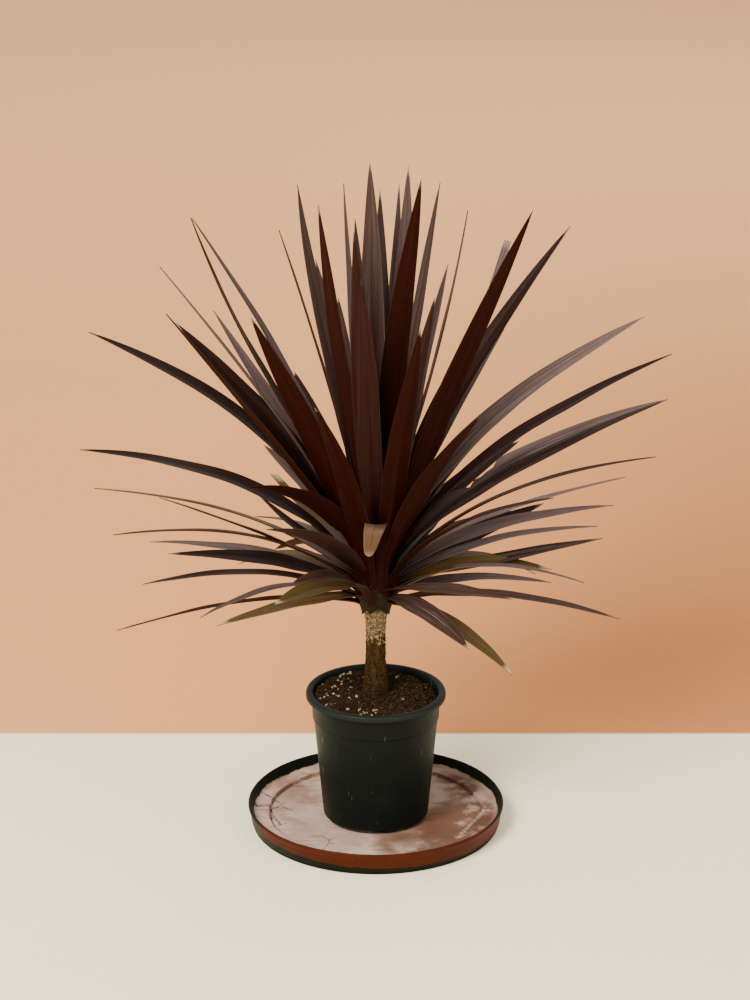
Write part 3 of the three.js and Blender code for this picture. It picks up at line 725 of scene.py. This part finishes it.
def make_saucer():
    bm = turned(SAUCER_OUTLINE, 180, rounding=0.7)
    for vert in bm.verts:
        x, y, z = vert.co / MM
        rim = smooth((z - 14) / 14) * smooth((math.hypot(x, y) - 140) / 12)
        bend = noise.noise(Vector((x, y, 0)) * 0.012 + Vector((3, 1, 0)))
        vert.co.z += rim * (0.9 * bend + 0.25 * noise.noise(Vector((x, y, 7)) * 0.08)) * MM
    f = Finish("saucer_plastic", 0.6, 0.08)
    x, y, z = f.split(f.place())
    height = z * PER_METRE
    radius = (x * x + y * y).math("SQRT") * PER_METRE
    wide = f.noise(f.place(), 9, 3, 0.6)
    patch = f.noise(f.place(), 34, 4, 0.6)
    fine = f.noise(f.place(), 260, 4, 0.7)
    orange = f.mix(patch, (0.036, 0.0050, 0.0007), (0.062, 0.0096, 0.0016))
    orange = f.mix(fine.step(0.62, 0.72) * 0.35, orange, (0.17, 0.060, 0.028))
    magenta = (x * 9 + wide * 2).step(1.95, 2.5)
    orange = f.mix(magenta * 0.65, orange, (0.070, 0.0095, 0.0120))
    green = f.mix(fine, (0.0010, 0.0022, 0.0006), (0.0035, 0.0065, 0.0018))
    ragged = height + patch * 9 + wide * 4 - 5.5
    inner = radius.step(153.8, 152.9) * ragged.step(15.6, 17.4)
    # a dark green band round the bottom, reaching higher on the left: part algae, part painted shade under the
    # foot
    foot = (height + patch * 5 - 4 + x * 20).step(9.2, 6.4)
    left = (x * PER_METRE + wide * 16).step(-126, -142)
    lip = height.step(25.6, 26.6) * (y * PER_METRE + wide * 60).step(-70, -10)
    lime = f.mix(patch, (0.27, 0.175, 0.130), (0.55, 0.42, 0.335))
    lime = f.mix((y * -10 + x * 2).step(0.7, 1.3) * 0.5, lime, (0.62, 0.50, 0.40))
    lime = f.mix(wide.step(0.5, 0.68) * 0.55, lime, (0.115, 0.050, 0.027))
    pink = f.noise(f.place(), 22, 2, 0.5)
    lime = f.mix(pink.step(0.56, 0.68) * 0.5, lime, (0.25, 0.085, 0.075))
    scrape = f.noise(f.stretch(f.place(), (18, 130, 10)), 1, 3, 0.6)
    lime = f.mix(scrape.step(0.57, 0.66) * 0.45, lime, (0.12, 0.058, 0.036))
    crack = f.cell_borders(f.place(), 26).step(0.035, 0.012)
    place_of_cracks = (x * -9 + y * -6).step(0.75, 1.0) * wide.step(0.40, 0.55)
    lime = f.mix(crack * place_of_cracks * fine.step(0.4, 0.5), lime, (0.016, 0.006, 0.005))
    # a darker ring along the inner ledge's step: painted shade on the step's face
    groove = radius.step(127.8, 129.6) * radius.step(133.5, 131.4)
    lime = f.mix(groove * patch.step(0.40, 0.55) * 0.8, lime, (0.10, 0.043, 0.022))
    bare = (x * 8 + y * -2 + wide * 1.6).step(0.9, 1.6) * radius.step(151, 140)
    lime = f.mix(bare * patch.step(0.30, 0.52) * 0.9, lime, (0.095, 0.040, 0.021))
    # a paler straight line across the right of the floor: painted highlight along a low ridge
    ridge = (x * 912.0 - y * 410.0 - 124.0 + patch * 9).abs().step(3.4, 0.8) * fine.step(0.35, 0.6)
    ridge = ridge * (y * PER_METRE + 32.0).abs().step(44, 36)
    lime = f.mix(ridge * 0.5, lime, (0.50, 0.37, 0.28))
    floor = ragged.step(19.0, 17.0) * radius.step(152, 150.5) * height.step(7.0, 9.0)
    colour = f.mix(inner, orange, green)
    colour = f.mix(foot.math("MAXIMUM", left.math("MAXIMUM", lip) * 0.92), colour, green)
    colour = f.mix(floor, colour, lime)
    normal = f.bump(fine, 0.0004, 0.5)
    normal = f.bump(patch * floor, 0.0025, 0.6, normal)
    finish = f.give(Base_Color=colour, Roughness=floor * 0.35 + 0.5, Normal=normal)
    ride(piece_from(bm, "saucer_fine", [finish]), "saucer_plastic", "saucer")


def make_pot():
    bm = turned([(r, z + POT_BOTTOM) for r, z in POT_OUTLINE], 144, rounding=0.5)
    piece = piece_from(bm, "pot_fine", [])
    cutter = bmesh.new()
    bottom = POT_BOTTOM * MM
    size = Matrix.Diagonal((*[length * MM for length in NOTCH_SIZE], 1))
    for k in range(NOTCHES):
        angle = math.radians(FIRST_NOTCH + 360 / NOTCHES * k)
        place = Matrix.Rotation(angle, 4, "Z") @ Matrix.Translation((NOTCH_RADIUS * MM, 0, bottom))
        made = bmesh.ops.create_cube(cutter, size=1, matrix=place @ size)
        edges = {edge for vert in made["verts"] for edge in vert.link_edges}
        tops = [edge for edge in edges if all(vert.co.z > bottom for vert in edge.verts)]
        bmesh.ops.bevel(
            cutter, geom=tops, affect="EDGES",
            offset=NOTCH_ROUNDING * MM, segments=4, profile=0.5, material=-1,
        )
    notches = piece_from(cutter, "notches", [])
    cut = piece.modifiers.new("notches", "BOOLEAN")
    cut.operation = "DIFFERENCE"
    cut.object = notches
    cut.solver = "EXACT"
    bpy.context.view_layer.update()
    finished = bpy.data.meshes.new_from_object(piece.evaluated_get(bpy.context.evaluated_depsgraph_get()))
    piece.modifiers.clear()
    piece.data = finished
    bpy.data.objects.remove(notches)
    f = Finish("pot_plastic", 0.5, 0.06)
    height = f.split(f.place())[2] * PER_METRE
    patch = f.noise(f.place(), 26, 4, 0.6)
    fine = f.noise(f.place(), 420, 3, 0.6)
    drips = f.noise(f.stretch(f.place(), (70, 70, 7)), 1, 4, 0.65)
    base = f.mix(patch, (0.0031, 0.0045, 0.0039), (0.0060, 0.0080, 0.0068))
    dusty = drips.step(0.58, 0.74) * 0.26 + patch.step(0.58, 0.75) * 0.14
    base = f.mix(dusty, base, (0.022, 0.022, 0.014))
    scratch = f.noise(f.stretch(f.place(), (240, 240, 26)), 1, 2, 0.5).step(0.70, 0.74)
    base = f.mix(scratch * drips.step(0.46, 0.58) * 0.6, base, (0.13, 0.13, 0.11))
    lime = (height + patch * 8).step(20.5, 15.0) * fine.step(0.42, 0.6)
    base = f.mix(lime * 0.6, base, (0.16, 0.135, 0.10))
    # the rim painted lighter and greyer: painted sheen
    rim = height.step(165, 172)
    base = f.mix(rim * 0.5, base, f.mix(fine, (0.010, 0.0115, 0.0105), (0.026, 0.028, 0.026)))
    normal = f.bump(fine, 0.00025, 0.4)
    normal = f.bump(drips, 0.0006, 0.3, normal)
    finish = f.give(Base_Color=base, Roughness=dusty * 0.5 + fine * 0.12 + 0.36, Normal=normal)
    piece.data.materials.append(finish)
    ride(piece, "pot_plastic", "pot")


SOIL_RADIUS = 75.2
STEM_ROOM = 20


def soil_height(x, y):
    """The peat's surface in millimetres: the frame's gentle relief, then lumps and crumbs."""
    out = math.hypot(x, y)
    broad = math.sin(x * 0.071 + 1.3) * math.cos(y * 0.083 - 0.4) + 0.6 * math.sin((x + 1.7 * y) * 0.127)
    heap = smooth((SOIL_RADIUS - out) / 40) * 5
    fade = smooth((out - 17) / 8)
    place = Vector((x, y, 2.0))
    lumps = 2.2 * noise.noise(place * 0.07) + 1.5 * noise.noise(place * 0.19) + 0.8 * noise.noise(place * 0.5)
    low = -4.5 * smooth((x - 30) / 30) * smooth((out - 52) / 20)
    return SOIL_LEVEL + heap + (1.3 * broad + lumps) * fade + low


def peat_finish(name, dark, light):
    f = Finish(name, 0.95, 0.06)
    grain = f.noise(f.place(), 380, 5, 0.7)
    patch = f.noise(f.place(), 60, 3, 0.6)
    colour = f.mix(grain.step(0.3, 0.72), dark, light)
    colour = f.mix(patch.step(0.5, 0.7) * 0.35, colour, (0.030, 0.0160, 0.0064))
    return f.give(Base_Color=colour, Normal=f.bump(grain, 0.0015, 0.8))


def scatter(bm, draw, count, sizes, sink, where, long):
    """Strews small lumps on the soil, drawn out if long is over 1; where gives each place its chance."""
    placed = 0
    while placed < count:
        angle, out = draw.uniform(0, math.tau), 75 * math.sqrt(draw.random())
        x, y = out * math.cos(angle), out * math.sin(angle)
        size = draw.uniform(*sizes)
        if out < STEM_ROOM or out > 74 - size or draw.random() > where(x, y):
            continue
        turn = Matrix.Rotation(draw.uniform(0, math.tau), 4, Vector([draw.uniform(-1, 1) for _ in range(3)]))
        if long > 1:
            turn = Matrix.Rotation(draw.uniform(0, math.tau), 4, "Z")
            turn = turn @ Matrix.Rotation(draw.uniform(-0.35, 0.35), 4, "Y")
        length, width, height = draw.uniform(0.6, 1.3) * long, draw.uniform(0.6, 1.1), draw.uniform(0.5, 0.9)
        stretch = Matrix.Diagonal((length, width, height, 1))
        place = Matrix.Translation(Vector((x, y, soil_height(x, y) + size * sink)) * MM)
        bmesh.ops.create_icosphere(bm, subdivisions=1, radius=size * MM, matrix=place @ turn @ stretch)
        placed += 1


def make_soil():
    rings = [2 + 1.15 * k for k in range(64)]
    profile = [(0, 12.2 + POT_BOTTOM), (70, 100), (SOIL_RADIUS, 150), (SOIL_RADIUS, 160)]
    profile += [(r, SOIL_LEVEL) for r in reversed(rings)] + [(0, SOIL_LEVEL)]
    bm = turned(profile, 180)
    for vert in bm.verts:
        x, y, z = vert.co / MM
        if z > 161:
            vert.co.z = soil_height(x, y) * MM
    peat = peat_finish("peat", (0.0022, 0.0011, 0.0004), (0.030, 0.0155, 0.0062))
    ride(piece_from(bm, "peat", [peat]), "soil", "soil")

    # what lies on the peat: its name, count, sizes, how high it sits, where it lies, its length, its colours
    strewn = [
        ("peat_crumbs", 1500, (0.8, 2.6), 0.1, lambda x, y: 1, 1,
         (0.0034, 0.0017, 0.0007), (0.048, 0.0265, 0.0115)),
        ("bark_bits", 90, (0.6, 1.9), 0.3, lambda x, y: 0.35 + 0.5 * (x > 0), 1,
         (0.024, 0.0125, 0.0045), (0.105, 0.062, 0.024)),
        ("peat_strings", 520, (0.45, 0.85), 0.5, lambda x, y: 1, 5.5,
         (0.0065, 0.0034, 0.0013), (0.085, 0.053, 0.026)),
        ("perlite", 46, (0.8, 2.9), 0.3, lambda x, y: 1.0 if x < -30 and y > -40 else 0.07, 1,
         (0.15, 0.105, 0.060), (0.50, 0.41, 0.285)),
        ("straw_bits", 12, (1.0, 2.2), 0.4, lambda x, y: 1.0 if y < -50 and abs(x) < 20 else 0.02, 1.6,
         (0.12, 0.090, 0.030), (0.44, 0.37, 0.17)),
    ]
    draw = random.Random(41)
    for name, count, sizes, sink, where, long, dark, light in strewn:
        bm = bmesh.new()
        scatter(bm, draw, count, sizes, sink, where, long)
        ride(piece_from(bm, name, [peat_finish(name, dark, light)]), "soil")


FLOOR_REACH = 14
WORLD_COLOUR = (1.0, 0.93, 0.85, 1)
WORLD_STRENGTH = 0.95
AIM = Vector((0, 0, 0.4))

# lights by name, place and size in metres, power in watts, and colour
LIGHTS = [
    ("key", (-1.7, -2.4, 2.7), 1.8, 270, (1.0, 0.95, 0.88)),
    ("fill", (2.4, -1.9, 1.5), 2.0, 40, (1.0, 0.94, 0.88)),
    ("back", (1.4, 3.3, 2.3), 2.2, 45, (1.0, 0.93, 0.86)),
]
CAMERA_PLACE = (-0.001, -3.8575, 1.8363)
CAMERA_DIP = 20.163
CAMERA_LENS = 124.4
CAMERA_SENSOR = 36


def stage_and_light():
    """The flat floor, pale in front and painted warm behind the plant, the soft lights and the camera."""
    bm = bmesh.new()
    bmesh.ops.create_grid(bm, x_segments=1, y_segments=1, size=FLOOR_REACH)
    f = Finish("floor_paint", 0.8, 0.1)
    x, y, _ = f.split(f.place())
    # the warm part is painted darker towards the right as painted shadow, and paler further back
    near_with_shade = f.mix((x - y * 0.1).step(-0.5, 0.6), (0.78, 0.345, 0.128), (0.54, 0.215, 0.072))
    warm = f.mix(y.step(0.4, 4.5), near_with_shade, (0.98, 0.56, 0.27))
    colour = f.mix(y.step(0.256, 0.266), (1.0, 0.92, 0.67), warm)
    floor = piece_from(bm, "floor", [f.give(Base_Color=colour)])

    world = bpy.data.worlds.new("studio")
    world.use_nodes = True
    background = world.node_tree.nodes["Background"]
    background.inputs["Color"].default_value = WORLD_COLOUR
    background.inputs["Strength"].default_value = WORLD_STRENGTH
    bpy.context.scene.world = world
    for name, place, size, energy, colour in LIGHTS:
        lamp = bpy.data.lights.new(name, "AREA")
        lamp.shape = "DISK"
        lamp.size = size
        lamp.energy = energy
        lamp.color = colour
        obj = bpy.data.objects.new(name, lamp)
        obj.location = place
        obj.visible_glossy = name != "back"
        obj.rotation_euler = (AIM - Vector(place)).to_track_quat("-Z", "Y").to_euler()
        bpy.context.scene.collection.objects.link(obj)

    camera = bpy.data.cameras.new("camera")
    camera.lens = CAMERA_LENS
    camera.sensor_width = CAMERA_SENSOR
    camera.clip_end = 50
    view = bpy.data.objects.new("camera", camera)
    view.location = CAMERA_PLACE
    view.rotation_euler = (math.radians(90 - CAMERA_DIP), 0, 0)
    bpy.context.scene.collection.objects.link(view)
    bpy.context.scene.camera = view


make_saucer()
make_pot()
make_soil()
make_stem()
make_leaves()
stage_and_light()
